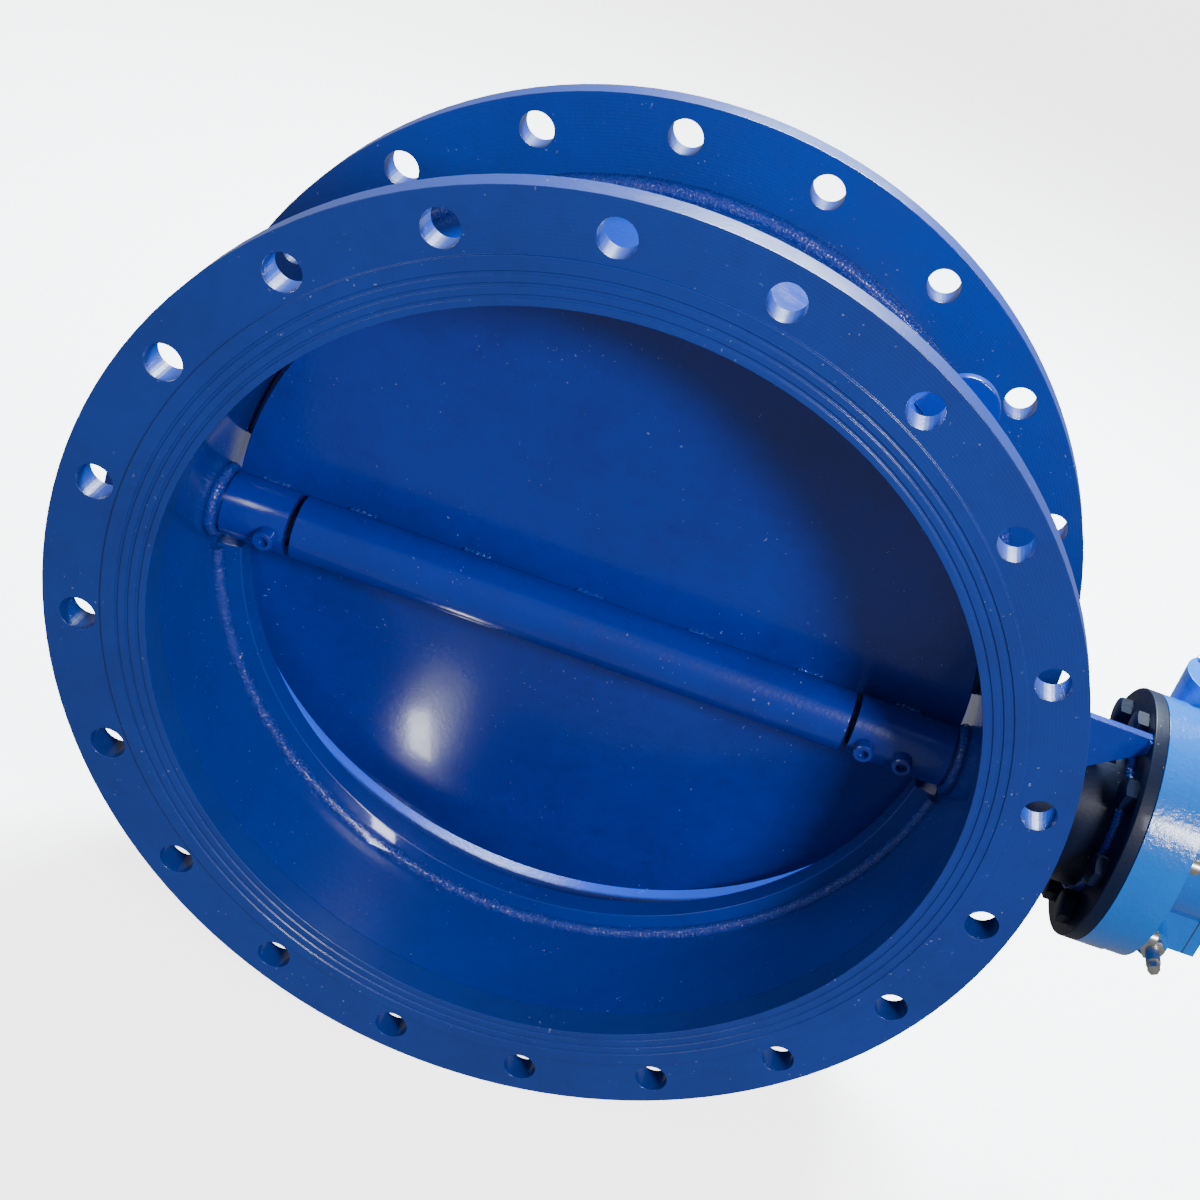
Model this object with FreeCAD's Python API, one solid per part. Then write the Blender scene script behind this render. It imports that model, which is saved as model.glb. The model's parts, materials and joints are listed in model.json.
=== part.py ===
import FreeCAD, Part
import math
import os

# Flanged plate butterfly damper valve with a worm-gear operator. Millimetres.
# Origin: where the shaft axis crosses the bore axis.
# +X runs along the shaft towards the operator, the pipe runs along Y with the
# raised front face towards -Y, and +Z is up.

# ---- driving dimensions: body ----
bore_diameter = 605.0
shell_wall = 8.0
face_to_face = 275.0
shaft_to_front_face = 126.0
bolt_circle_margin = 50.0
flange_edge_margin = 25.0
raised_face_margin = 17.5
flange_thickness = 24.0
raised_face_height = 2.0
flange_hole_diameter = 26.0
flange_hole_count = 20
groove_pitch = 7.5
groove_width = 2.4
groove_depth = 1.2
groove_count = 3
flange_weld_leg = 9.0
weld_toe = 0.4
stop_bar_width = 20.0
stop_bar_depth = 20.0
stop_weld_leg = 7.0
stop_end_clearance = 5.0
lug_angle = 54.0
lug_height = 52.0
lug_width = 50.0
lug_thickness = 10.0
lug_eye = 20.0

# ---- driving dimensions: disc and shafts ----
disc_edge_gap = 6.0
disc_thickness = 10.0
shaft_diameter = 35.0
hub_wall = 7.5
disc_tube_wall = 5.0
seat_flat = 1.0
rest_opening = 6.2
seat_gap = 0.3
drive_hub_length = 80.0
tail_hub_length = 49.0
hub_gap = 5.0
hub_pin_diameter = 10.0
hub_pin_head = 16.0
hub_pin_head_height = 9.0
hub_pin_depth_share = 0.8
drive_pin_shares = (0.16, 0.56)
tail_pin_shares = (0.25,)
shaft_step_back = 2.0
stitch_length = 26.0
stitch_leg = 5.0
stitch_count = 5
bush_wall = 5.0
bush_inside_wall = 6.0
bush_length = 54.0
washer_thickness = 3.4
washer_play = 0.3
running_gap = 0.05
slip_gap = 0.25

# ---- driving dimensions: tail end ----
tail_boss_wall = 17.5
tail_boss_length = 51.5
tail_cover_thickness = 10.0
tail_gasket_thickness = 1.5
tail_bolt_diameter = 8.0
tail_bolt_depth = 18.0

# ---- driving dimensions: neck ----
neck_room = 8.8
neck_wall = 8.0
neck_clearance = 3.0
neck_window_land = 14.0
neck_window_length = 60.0
neck_window_width = 50.0
mounting_flange_thickness = 12.0
mounting_flange_edge = 22.5
mounting_bolt_reach = 17.5
mounting_flange_gap = 8.0
mounting_bolt_count = 8
mounting_bolt_diameter = 16.0
mounting_bolt_grip = 16.0
gusset_thickness = 8.0
gusset_offset = 31.0
gusset_top_margin = 8.0
gusset_tip_height = 15.0
gusset_arc_rise = 17.0
gusset_arc_step = 24.0
gusset_foot_length = 50.0
stuffing_box_wall = 12.5
stuffing_box_wing = 18.0
gland_entry = 14.0
packing_ring_height = 6.0
packing_ring_count = 4
gland_flange_thickness = 9.0
gland_gap = 6.0
gland_stud_reach = 7.0
gland_stud_diameter = 8.0
gland_wing_width = 24.0

# ---- driving dimensions: worm gearbox ----
gear_module = 4.0
gear_teeth = 36
gear_width = 20.0
gear_addendum = 0.8
gear_dedendum = 1.2
flank_angle = 20.0
flank_play = 0.5
sector_half_angle = 60.0
closed_sector_angle = -45.0
gear_hub_wall = 18.5
gear_hub_length = 44.0
worm_pitch_radius = 20.0
worm_turns = 5
worm_root_fill = 0.6
base_thickness = 24.0
rim_thickness = 18.0
case_hub_land = 18.0
case_floor = 6.0
rim_land = 15.8
rim_screw_inset = 8.0
rim_screw_diameter = 8.0
rim_screw_head = 13.0
rim_screw_depth = 16.0
cover_screw_diameter = 6.0
cover_screw_depth = 14.0
case_wall = 10.0
case_gap = 4.0
cover_thickness = 10.0
cover_gasket_thickness = 1.0
worm_journal = 20.0
worm_bore_gap = 2.8
bearing_width = 15.0
worm_case_wall = 10.0
worm_cap_thickness = 9.0
worm_cap_screw = 5.0
worm_cap_screw_depth = 12.0
seal_width = 6.0
stop_screw_diameter = 12.0
stop_screw_margin = 3.2
stop_screw_length = 24.0
stop_screw_head = 8.0
stop_screw_flats = 9.0
stop_boss_radius = 13.0
key_width = 10.0
key_height = 8.0
stop_boss_length = 28.5
dial_rim = 20.5
dial_thickness = 2.0
pointer_thickness = 4.0
pointer_width = 10.0
pointer_tip = 12.5
pointer_rim = 4.0
pointer_screw_diameter = 6.0
pointer_screw_depth = 12.0
pointer_washer_height = 3.0

# ---- driving dimensions: handwheel ----
handwheel_height = 330.0
handwheel_radius = 110.0
handwheel_rim_radius = 9.0
handwheel_hub_radius = 19.0
handwheel_hub_length = 32.0
spoke_radius = 6.5
spoke_count = 4
handwheel_key = 6.0
handwheel_key_margin = 2.0
handwheel_washer_radius = 16.0
handwheel_washer_height = 2.5
handwheel_nut_flats = 30.0
handwheel_nut_height = 10.0
spindle_end_length = 14.0
spoke_angle = 45.0

# Cutting tools run this far past a face, and pieces trimmed to a round wall
# start this far inside it.
tool_overrun = 1.0
trim_depth = 30.0

# ---- derived sizes ----
X = FreeCAD.Vector(1, 0, 0)
Y = FreeCAD.Vector(0, 1, 0)
Z = FreeCAD.Vector(0, 0, 1)
ORIGIN = FreeCAD.Vector(0, 0, 0)

bore_radius = bore_diameter / 2
shell_radius = bore_radius + shell_wall
bolt_circle = bore_diameter + 2 * bolt_circle_margin
flange_diameter = bolt_circle + 2 * flange_edge_margin
raised_face_diameter = bolt_circle - 2 * raised_face_margin
front_face = -shaft_to_front_face
rear_face = front_face + face_to_face
front_plate = front_face + raised_face_height
rear_plate = rear_face - raised_face_height
shell_front = front_plate + flange_thickness
shell_rear = rear_plate - flange_thickness
shaft_radius = shaft_diameter / 2
bush_outer = shaft_diameter + 2 * bush_wall
tube_radius = shaft_radius + hub_wall
tube_bore_radius = tube_radius - disc_tube_wall
disc_front = tube_radius - seat_flat
disc_back = disc_front + disc_thickness
disc_radius = bore_radius - disc_edge_gap
bush_inner_end = bore_radius - bush_inside_wall - seat_gap
bush_outer_end = bush_inner_end + bush_length
hub_end = bush_inner_end - washer_thickness - 2 * washer_play
drive_hub_start = hub_end - drive_hub_length
tail_hub_start = hub_end - tail_hub_length
drive_tube_end = drive_hub_start - hub_gap
tail_tube_end = tail_hub_start - hub_gap
stop_inner = bore_radius - stop_bar_width
stop_end_angle = math.degrees(math.asin((disc_back + stop_end_clearance) / stop_inner))

tail_boss_diameter = bush_outer + 2 * tail_boss_wall
tail_boss_end = shell_radius + tail_boss_length
tail_bolt_circle = (bush_outer + tail_boss_diameter) / 2
stuffing_box_diameter = bush_outer + 2 * stuffing_box_wall
packing_end = bush_outer_end + packing_ring_count * packing_ring_height
stuffing_box_end = packing_end + gland_entry
gland_stud_circle = stuffing_box_diameter + 2 * gland_stud_reach
gland_ear = gland_stud_circle / 2 + gland_wing_width / 2
neck_radius = gland_ear + neck_clearance + neck_wall
gland_start = stuffing_box_end + gland_gap
gland_end = gland_start + gland_flange_thickness
gland_stud_end = gland_end + 1.5 * gland_stud_diameter
neck_end = gland_stud_end + neck_room
mounting_flange_face = neck_end + mounting_flange_thickness
gear_pitch_radius = gear_module * gear_teeth / 2
gear_tip_radius = gear_pitch_radius + gear_addendum * gear_module
gear_root_radius = gear_pitch_radius - gear_dedendum * gear_module
gear_hub_radius = shaft_radius + gear_hub_wall
case_radius = gear_tip_radius + case_gap + case_wall
case_hub_radius = gear_hub_radius + case_gap + case_hub_land
neck_flange_radius = neck_radius + mounting_bolt_reach + mounting_flange_edge
mounting_flange_radius = max(neck_flange_radius, case_radius + rim_land)
mounting_bolt_circle = 2 * (mounting_flange_radius - mounting_flange_edge)
gusset_top = mounting_flange_radius - gusset_top_margin
base_end = mounting_flange_face + base_thickness
rim_end = base_end + rim_thickness
worm_tip_radius = worm_pitch_radius + gear_addendum * gear_module
bearing_radius = worm_tip_radius + worm_bore_gap
worm_case_radius = bearing_radius + worm_case_wall
gear_plane = base_end + worm_case_radius
case_end = gear_plane + worm_case_radius
cover_end = case_end + cover_gasket_thickness + cover_thickness
worm_distance = gear_pitch_radius + worm_pitch_radius
worm_pitch = math.pi * gear_module
worm_root_radius = worm_pitch_radius - gear_dedendum * gear_module + worm_root_fill
worm_length = worm_pitch * worm_turns
rim_radius = mounting_flange_radius - 1
worm_case_end = math.sqrt(rim_radius ** 2 - (worm_distance - worm_case_radius) ** 2) + case_gap
bearing_inner_end = worm_case_end - bearing_width
sector_past_shaft = math.radians(sector_half_angle + closed_sector_angle)
swing_reach = gear_tip_radius * math.sin(sector_past_shaft) + case_gap
stop_screw_height = gear_root_radius - stop_screw_margin
stop_boss_end = swing_reach + case_wall + stop_boss_length
seal_radius = worm_journal / 2 + seal_width
worm_axis = FreeCAD.Vector(gear_plane, worm_distance, 0)
rest_worm_turn = gear_teeth * rest_opening
shaft_end = cover_end + dial_thickness + pointer_thickness + 1.0


# ---- helpers ----
def rod(axis, radius, start, end, at=ORIGIN):
    """Solid round bar along an axis, from start to end measured from at."""
    return Part.makeCylinder(radius, end - start, at + axis * start, axis)


def tube(axis, outer, inner, start, end, at=ORIGIN):
    """Hollow round bar."""
    hollow = rod(axis, inner, start - tool_overrun, end + tool_overrun, at)
    return rod(axis, outer, start, end, at).cut(hollow)


def block(x0, x1, y0, y1, z0, z1):
    """Box between two corners."""
    return Part.makeBox(x1 - x0, y1 - y0, z1 - z0, FreeCAD.Vector(x0, y0, z0))


def turned(shape, axis, degrees, about=ORIGIN):
    """A copy turned about an axis."""
    copy = shape.copy()
    copy.rotate(about, axis, degrees)
    return copy


def moved(shape, offset):
    """A copy shifted by an offset."""
    copy = shape.copy()
    copy.translate(offset)
    return copy


def around(shape, axis, angles, about=ORIGIN):
    """Copies of a shape at several angles about an axis."""
    return [turned(shape, axis, angle, about) for angle in angles]


def evenly(count, first=0.0):
    """Evenly spaced angles over a full turn."""
    return [first + 360.0 * i / count for i in range(count)]


def cut_all(shape, tools):
    """Cut several tools from a shape."""
    for tool in tools:
        shape = shape.cut(tool)
    return shape


def polygon_face(points):
    """Flat face through corner points."""
    return Part.Face(Part.makePolygon(points + [points[0]]))


def swept_bar(section, start_angle, span):
    """Bar bent round the bore. section lists (radius, y); angles run from +X to +Z."""
    face = polygon_face([FreeCAD.Vector(radius, y, 0) for radius, y in section])
    bar = face.revolve(ORIGIN, -Y, span)
    return turned(bar, -Y, start_angle)


def hexagon(across_flats, axis, start, end, at=ORIGIN):
    """Hexagonal prism along an axis."""
    corner = across_flats / math.sqrt(3)
    side = FreeCAD.Vector(0, 0, 1) if axis.z == 0 else FreeCAD.Vector(0, 1, 0)
    points = []
    for angle in evenly(6):
        arm = FreeCAD.Rotation(axis, angle).multVec(side)
        points.append(at + axis * start + arm * corner)
    return polygon_face(points).extrude(axis * (end - start))


def hex_bolt(diameter, axis, seat, tip, at=ORIGIN):
    """Hex head whose underside is at seat, with a shank that runs to tip."""
    way = 1 if tip > seat else -1
    low, high = sorted([seat - way * 0.65 * diameter, seat])
    head = hexagon(1.5 * diameter, axis, low, high, at)
    low, high = sorted([seat, tip])
    return head.fuse(rod(axis, diameter / 2, low, high, at)).removeSplitter()


def cap_screw(diameter, head, head_height, axis, seat, tip, at=ORIGIN):
    """Socket head screw. The head stands on seat and the shank runs to tip."""
    way = 1 if tip > seat else -1
    low, high = sorted([seat - way * head_height, seat])
    body = rod(axis, head / 2, low, high, at)
    low, high = sorted([seat - way * head_height * 1.01, seat - way * head_height * 0.45])
    body = body.cut(hexagon(0.8 * diameter, axis, low, high, at))
    low, high = sorted([seat, tip])
    return body.fuse(rod(axis, diameter / 2, low, high, at)).removeSplitter()


def with_disc(shape):
    """Turn a piece built closed to the opening at which the valve rests."""
    return turned(shape, X, rest_opening)


nodes = {}


def keep(name, *shapes):
    """Store one node, made of one or more separate solids."""
    solids = [solid for shape in shapes for solid in shape.Solids]
    nodes[name] = solids[0] if len(solids) == 1 else Part.makeCompound(solids)


# ---- body: shell, flanges, stop rings ----
def make_shell():
    shell = tube(Y, shell_radius, bore_radius, shell_front, shell_rear)
    shaft_hole = rod(X, bush_outer / 2, -shell_radius - tool_overrun, shell_radius + tool_overrun)
    keep("body_shell", shell.cut(shaft_hole))


def make_flange(name, plate_start, plate_end, face, outward):
    ring = tube(Y, flange_diameter / 2, bore_radius, plate_start, plate_end)
    low, high = sorted([face, face - outward * raised_face_height])
    raised = tube(Y, raised_face_diameter / 2, bore_radius, low, high)
    flange = ring.fuse(raised).removeSplitter()
    spot = FreeCAD.Vector(bolt_circle / 2, 0, 0)
    hole = rod(Y, flange_hole_diameter / 2, plate_start - tool_overrun, plate_end + tool_overrun, spot)
    half_step = 180.0 / flange_hole_count
    flange = cut_all(flange, around(hole, Y, evenly(flange_hole_count, half_step)))
    low, high = sorted([face + outward * tool_overrun, face - outward * groove_depth])
    for index in range(groove_count):
        outer = bore_radius + groove_pitch * (index + 1)
        flange = flange.cut(tube(Y, outer, outer - groove_width, low, high))
    keep(name, flange)


def make_flange_welds():
    welds = []
    for face, way in ((shell_front, Y), (shell_rear, -Y)):
        cone = Part.makeCone(shell_radius + flange_weld_leg, shell_radius + weld_toe,
                             flange_weld_leg, FreeCAD.Vector(0, face, 0), way)
        welds.append(cone.cut(rod(Y, shell_radius, shell_front, shell_rear)))
    keep("flange_welds", *welds)


def make_stop_rings():
    lower_back = disc_front - seat_gap
    lower_front = lower_back - stop_bar_depth
    upper_front = disc_back + seat_gap
    upper_back = upper_front + stop_bar_depth
    span = 180 - 2 * stop_end_angle
    lower = [(stop_inner, lower_front), (bore_radius, lower_front),
             (bore_radius, lower_back), (stop_inner, lower_back)]
    upper = [(stop_inner, upper_front), (bore_radius, upper_front),
             (bore_radius, upper_back), (stop_inner, upper_back)]
    keep("lower_stop_ring", swept_bar(lower, 180 + stop_end_angle, span))
    keep("upper_stop_ring", swept_bar(upper, stop_end_angle, span))
    leg = stop_weld_leg
    lower_weld = [(bore_radius, lower_front), (bore_radius, lower_front - leg),
                  (bore_radius - leg, lower_front)]
    upper_weld = [(bore_radius, upper_back), (bore_radius, upper_back + leg),
                  (bore_radius - leg, upper_back)]
    keep("stop_ring_welds", swept_bar(lower_weld, 180 + stop_end_angle, span),
         swept_bar(upper_weld, stop_end_angle, span))


def make_lifting_lugs():
    foot = shell_radius - lug_thickness
    top = shell_radius + lug_height
    plate = block(foot, top, -lug_thickness / 2, lug_thickness / 2, -lug_width / 2, lug_width / 2)
    crown = rod(Y, lug_width / 2, -lug_thickness, lug_thickness,
                FreeCAD.Vector(top - lug_width / 2, 0, 0))
    lower_part = block(foot, top - lug_width / 2, -lug_thickness, lug_thickness,
                       -lug_width / 2, lug_width / 2)
    plate = plate.common(crown.fuse(lower_part))
    eye = rod(Y, lug_eye / 2, -lug_thickness, lug_thickness,
              FreeCAD.Vector(top - lug_width / 2, 0, 0))
    plate = plate.cut(eye).cut(rod(Y, shell_radius, -lug_thickness, lug_thickness))
    plate = moved(plate, Y * ((shell_front + shell_rear) / 2))
    keep("lifting_lugs", turned(plate, -Y, lug_angle), turned(plate, -Y, 180 + lug_angle))


# ---- disc assembly, built closed and then turned to the resting opening ----
def pin_positions():
    drive = [drive_hub_start + drive_hub_length * share for share in drive_pin_shares]
    tail = [-tail_hub_start - tail_hub_length * share for share in tail_pin_shares]
    return drive, tail


def pin_hole(x, radius):
    bottom = -shaft_radius * hub_pin_depth_share
    return rod(-Y, radius, bottom, tube_radius + tool_overrun, FreeCAD.Vector(x, 0, 0))


def make_disc():
    keep("disc_plate", with_disc(rod(Y, disc_radius, disc_front, disc_back)))
    flat = block(-disc_radius, disc_radius, disc_front, tube_radius, -tube_radius, tube_radius)
    pipe = tube(X, tube_radius, tube_bore_radius, -tail_tube_end, drive_tube_end)
    keep("disc_tube", with_disc(pipe.cut(flat)))
    drive_pins, tail_pins = pin_positions()
    drive = tube(X, tube_radius, shaft_radius, drive_hub_start, hub_end).cut(flat)
    drive = cut_all(drive, [pin_hole(x, hub_pin_diameter / 2) for x in drive_pins])
    keep("drive_hub", with_disc(drive))
    tail = tube(X, tube_radius, shaft_radius, -hub_end, -tail_hub_start).cut(flat)
    tail = cut_all(tail, [pin_hole(x, hub_pin_diameter / 2) for x in tail_pins])
    keep("tail_hub", with_disc(tail))
    pins = []
    for x in drive_pins + tail_pins:
        spot = FreeCAD.Vector(x, 0, 0)
        screw = cap_screw(hub_pin_diameter, hub_pin_head, hub_pin_head_height, -Y,
                          tube_radius, -shaft_radius * hub_pin_depth_share, spot)
        pins.append(with_disc(screw))
    keep("hub_pins", *pins)


def make_stitch_welds():
    """Short fillets along both sides of the tube, and along both hubs."""
    half_width = math.sqrt(tube_radius ** 2 - disc_front ** 2)
    spread = tail_tube_end + drive_tube_end - 3 * stitch_length
    step = spread / (stitch_count - 1)
    starts = [-tail_tube_end + stitch_length + step * i for i in range(stitch_count)]
    starts += [drive_hub_start + drive_hub_length / 2 - stitch_length / 2,
               -tail_hub_start - tail_hub_length / 2 - stitch_length / 2]
    core = rod(X, tube_radius, -hub_end, hub_end)
    welds = []
    for start in starts:
        for side in (1, -1):
            near = side * half_width
            far = side * (half_width + 2 * stitch_leg)
            top = side * (half_width + stitch_leg)
            face = polygon_face([FreeCAD.Vector(start, disc_front, near),
                                 FreeCAD.Vector(start, disc_front, far),
                                 FreeCAD.Vector(start, disc_front - stitch_leg, top)])
            welds.append(with_disc(face.extrude(X * stitch_length).cut(core)))
    keep("disc_stitch_welds", *welds)


def make_shafts():
    drive_pins, tail_pins = pin_positions()
    drive = rod(X, shaft_radius - running_gap / 2, drive_hub_start + shaft_step_back, shaft_end)
    drive = cut_all(drive, [pin_hole(x, hub_pin_diameter / 2) for x in drive_pins])
    drive = drive.cut(key_block())
    tip = rod(X, pointer_screw_diameter / 2, shaft_end - pointer_screw_depth, shaft_end)
    keep("drive_shaft", with_disc(drive.cut(tip)))
    tail = rod(X, shaft_radius - running_gap / 2, -bush_outer_end, -tail_hub_start - shaft_step_back)
    tail = cut_all(tail, [pin_hole(x, hub_pin_diameter / 2) for x in tail_pins])
    keep("tail_shaft", with_disc(tail))


def key_block():
    """Key between the drive shaft and the gear, on the side away from the teeth."""
    half = gear_hub_length / 2
    key = block(gear_plane - half, gear_plane + half, -shaft_radius - key_height / 2,
                -shaft_radius + key_height / 2, -key_width / 2, key_width / 2)
    return turned(key, X, closed_sector_angle)


def make_bushes():
    inner = shaft_radius + running_gap
    keep("drive_bush", tube(X, bush_outer / 2, inner, bush_inner_end, bush_outer_end))
    keep("tail_bush", tube(X, bush_outer / 2, inner, -bush_outer_end, -bush_inner_end))
    start = hub_end + washer_play
    washer = tube(X, bush_outer / 2, inner + slip_gap, start, start + washer_thickness)
    keep("thrust_washers", washer, turned(washer, Z, 180))


# ---- tail end ----
def make_tail_end():
    outside = rod(Y, shell_radius, -tail_boss_diameter, tail_boss_diameter)
    inside = -shell_radius + trim_depth
    boss = tube(X, tail_boss_diameter / 2, bush_outer / 2, -tail_boss_end, inside)
    boss = boss.cut(outside)
    gasket_end = -tail_boss_end - tail_gasket_thickness
    cover_face = gasket_end - tail_cover_thickness
    gasket = tube(X, tail_boss_diameter / 2, bush_outer / 2, gasket_end, -tail_boss_end)
    cover = rod(X, tail_boss_diameter / 2, cover_face, gasket_end)
    spot = FreeCAD.Vector(0, 0, tail_bolt_circle / 2)
    bottom = -tail_boss_end + tail_bolt_depth
    hole = rod(X, tail_bolt_diameter / 2, cover_face - tool_overrun, bottom, spot)
    bolt = hex_bolt(tail_bolt_diameter, X, cover_face, bottom, spot)
    angles = evenly(4, 45)
    keep("tail_boss", cut_all(boss, around(hole, X, angles)))
    keep("tail_gasket", cut_all(gasket, around(hole, X, angles)))
    keep("tail_cover", cut_all(cover, around(hole, X, angles)))
    keep("tail_cover_bolts", *around(bolt, X, angles))


# ---- neck, stuffing box and mounting flange ----
def make_neck():
    outside = rod(Y, shell_radius, -neck_radius, neck_radius)
    inside = shell_radius - trim_depth
    neck = tube(X, neck_radius, neck_radius - neck_wall, inside, neck_end).cut(outside)
    window_end = neck_end - neck_window_land
    window = block(window_end - neck_window_length, window_end, -neck_window_width / 2,
                   neck_window_width / 2, -neck_radius, neck_radius)
    keep("neck_tube", neck.cut(window))
    flange = tube(X, mounting_flange_radius, shaft_radius + mounting_flange_gap,
                  neck_end, mounting_flange_face)
    spot = FreeCAD.Vector(0, 0, mounting_bolt_circle / 2)
    hole = rod(X, mounting_bolt_diameter / 2, neck_end - tool_overrun,
               mounting_flange_face + mounting_bolt_grip, spot)
    angles = evenly(mounting_bolt_count)
    keep("mounting_flange", cut_all(flange, around(hole, X, angles)))
    bolt = hex_bolt(mounting_bolt_diameter, X, neck_end, mounting_flange_face + mounting_bolt_grip, spot)
    keep("operator_bolts", *around(bolt, X, angles))
    return around(hole, X, angles)


def make_gussets():
    start = math.sqrt(shell_radius ** 2 - gusset_top ** 2) - gusset_thickness
    foot = neck_radius / 2
    tip = gusset_top - gusset_tip_height
    outline = [FreeCAD.Vector(start, 0, foot), FreeCAD.Vector(start, 0, gusset_top),
               FreeCAD.Vector(neck_end, 0, gusset_top), FreeCAD.Vector(neck_end, 0, tip)]
    corner = FreeCAD.Vector(shell_radius + gusset_foot_length, 0, foot)
    middle = FreeCAD.Vector(neck_end - gusset_arc_step, 0, tip - gusset_arc_rise)
    sides = [Part.makeLine(outline[0], outline[1]), Part.makeLine(outline[1], outline[2]),
             Part.makeLine(outline[2], outline[3]), Part.Arc(outline[3], middle, corner).toShape(),
             Part.makeLine(corner, outline[0])]
    face = Part.Face(Part.Wire(sides))
    plate = moved(face.extrude(Y * gusset_thickness), -Y * (gusset_offset + gusset_thickness / 2))
    plate = plate.cut(rod(X, neck_radius, start, neck_end))
    plate = plate.cut(rod(Y, shell_radius, -neck_radius, neck_radius))
    keep("front_gusset", plate)
    keep("rear_gusset", turned(plate, X, 180))


def make_stuffing_box():
    outside = rod(Y, shell_radius, -neck_radius, neck_radius)
    box_radius = stuffing_box_diameter / 2
    inside = shell_radius - trim_depth
    box = tube(X, box_radius, bush_outer / 2, inside, stuffing_box_end).cut(outside)
    wing_start = stuffing_box_end - stuffing_box_wing
    half_wing = gland_wing_width / 2
    wing = block(wing_start, stuffing_box_end, -gland_ear, gland_ear, -half_wing, half_wing)
    centre = rod(X, bush_outer / 2, wing_start, stuffing_box_end)
    box = box.fuse(wing.cut(centre)).removeSplitter()
    nut_end = gland_end + 0.8 * gland_stud_diameter
    spot = FreeCAD.Vector(0, gland_stud_circle / 2, 0)
    hole = rod(X, gland_stud_diameter / 2, wing_start, gland_stud_end, spot)
    stud = hole.copy()
    nut = hexagon(1.6 * gland_stud_diameter, X, gland_end, nut_end, spot)
    nut = nut.cut(hole)
    keep("stuffing_box", cut_all(box, around(hole, X, (0, 180))))
    keep("gland_studs", *around(stud, X, (0, 180)))
    keep("gland_nuts", *around(nut, X, (0, 180)))
    inner = shaft_radius + running_gap
    outer = bush_outer / 2
    start = bush_outer_end
    rings = []
    for index in range(packing_ring_count):
        rings.append(tube(X, outer, inner, start, start + packing_ring_height))
        start += packing_ring_height
    keep("packing_rings", *rings)
    follower = tube(X, outer - slip_gap, shaft_radius + slip_gap, packing_end, gland_end)
    bore = shaft_radius + slip_gap
    flange = tube(X, box_radius, bore, gland_start, gland_end)
    wing = block(gland_start, gland_end, -gland_ear, gland_ear, -half_wing, half_wing)
    flange = flange.fuse(wing.cut(rod(X, bore, gland_start, gland_end)))
    gland = follower.fuse(flange).removeSplitter()
    keep("gland_follower", cut_all(gland, around(hole, X, (0, 180))))


# ---- worm gearbox ----
def case_outline(grow, start, end):
    """Round boss about the shaft with a wider part on the worm side."""
    boss = rod(X, case_hub_radius + grow, start, end)
    wide = rod(X, case_radius + grow, start, end)
    side = block(start, end, -swing_reach - case_wall - grow, case_radius + grow,
                 -case_radius - grow, case_radius + grow)
    return boss.fuse(wide.common(side)).removeSplitter()


def make_base(bolt_holes):
    base = tube(X, mounting_flange_radius, shaft_radius + slip_gap, mounting_flange_face, base_end)
    screws, holes = housing_screws()
    base = cut_all(base, bolt_holes)
    keep("gearbox_base", cut_all(base, holes))
    keep("housing_screws", *screws)
    return holes


def housing_screws():
    """Screws round the rim that hold the housing to its base."""
    spot = FreeCAD.Vector(0, 0, mounting_flange_radius - rim_screw_inset)
    bottom = base_end - rim_screw_depth
    screw = cap_screw(rim_screw_diameter, rim_screw_head, rim_screw_diameter, X, rim_end, bottom, spot)
    hole = rod(X, rim_screw_diameter / 2, bottom, rim_end, spot)
    angles = (-22.5, 22.5, 67.5, 112.5, 157.5, 202.5)
    return around(screw, X, angles), around(hole, X, angles)


def cover_screw_places():
    """Angles and radii of the cover screws, measured from +Y towards +Z."""
    wide = case_radius - case_wall / 2
    narrow = case_hub_radius - case_hub_land / 2
    return [(-88, wide), (-52, wide), (52, wide), (88, wide), (150, narrow), (210, narrow)]


def cover_screws():
    screws = []
    holes = []
    bottom = case_end - cover_screw_depth
    for angle, reach in cover_screw_places():
        spot = FreeCAD.Vector(0, reach, 0)
        screw = hex_bolt(cover_screw_diameter, X, cover_end, bottom, spot)
        screws.append(turned(screw, X, angle))
        hole = rod(X, cover_screw_diameter / 2, bottom, cover_end, spot)
        holes.append(turned(hole, X, angle))
    return screws, holes


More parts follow.
